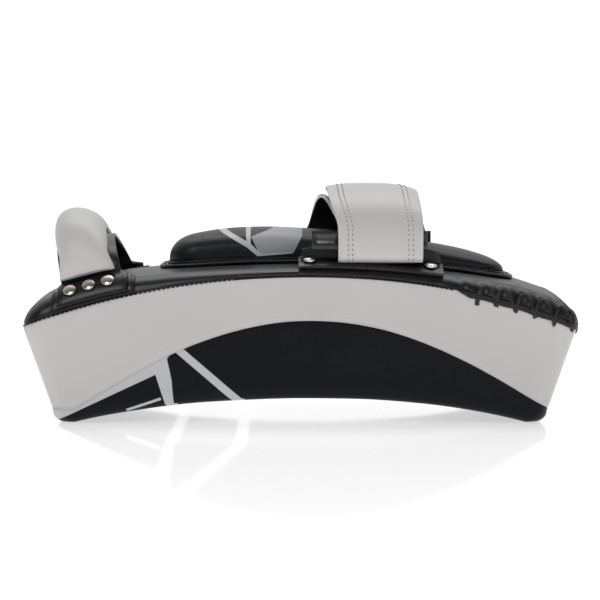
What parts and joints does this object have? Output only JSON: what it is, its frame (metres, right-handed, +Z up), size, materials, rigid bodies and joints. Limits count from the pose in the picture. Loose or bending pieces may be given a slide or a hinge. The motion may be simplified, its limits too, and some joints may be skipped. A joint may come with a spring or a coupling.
{
  "type": "thai pad",
  "caption": "Curved striking pad with a riveted padded handle, a forearm cushion and a forearm strap that folds round a keeper ring.",
  "frame": {"origin": "middle of the overall box on the ground plane, with the pad standing on the two ends of its strike face", "axes": "+X along the pad from the handle end to the laced end, -Y the near side where the strap folds round its ring, +Z up from the strike face to the straps"},
  "size_m": [0.4034, 0.21, 0.172],
  "materials": {
    "white_leather": "smooth white artificial leather, satin",
    "black_leather": "smooth black artificial leather, semi-gloss",
    "foam": "closed-cell foam sheet",
    "soft_foam": "soft open-cell foam",
    "hook_tape": "hook-and-loop tape",
    "nickel": "nickel-plated rivet caps",
    "moulded_ring": "moulded nylon, glossy",
    "lace": "round lace"
  },
  "bodies": {
    "pad": {"back_foam": "foam", "back_panel": "black_leather", "core_foam": "soft_foam", "cushion_base": "black_leather", "cushion_cover": "black_leather", "cushion_foam": "soft_foam", "handle_grip_cover": "white_leather", "handle_grip_foam": "soft_foam", "handle_patch_far": "black_leather", "handle_patch_near": "black_leather", "handle_rivet_far_1": "nickel", "handle_rivet_far_2": "nickel", "handle_rivet_far_3": "nickel", "handle_rivet_near_1": "nickel", "handle_rivet_near_2": "nickel", "handle_rivet_near_3": "nickel", "handle_strip": "black_leather", "hook_tape": "hook_tape", "impact_foam": "foam", "lacing": "lace", "side_wall": "white_leather", "strap_anchor_far": "black_leather", "strap_anchor_near": "black_leather", "strap_lining": "black_leather", "strap_main": "white_leather", "strap_patch_far": "black_leather", "strap_patch_near": "black_leather", "strap_rivet_far_1": "nickel", "strap_rivet_far_2": "nickel", "strap_rivet_near_1": "nickel", "strap_rivet_near_2": "nickel", "strike_face_panel": "black_leather"},
    "flap": {"strap_flap": "white_leather", "flap_lining": "black_leather", "loop_tape": "hook_tape"},
    "ring": {"strap_ring": "moulded_ring"}
  },
  "joints": [
    {"name": "strap_flap_peel", "type": "hinge", "parent": "pad", "child": "flap", "pos_m": [0.058, -0.0999, 0.12235], "axis": [1, 0, 0], "range_deg": [0, 150]},
    {"name": "ring_swing", "type": "hinge", "parent": "pad", "child": "ring", "pos_m": [0.0503, -0.0765, 0.132], "axis": [1, 0, 0], "range_deg": [-5, 5]}
  ]
}
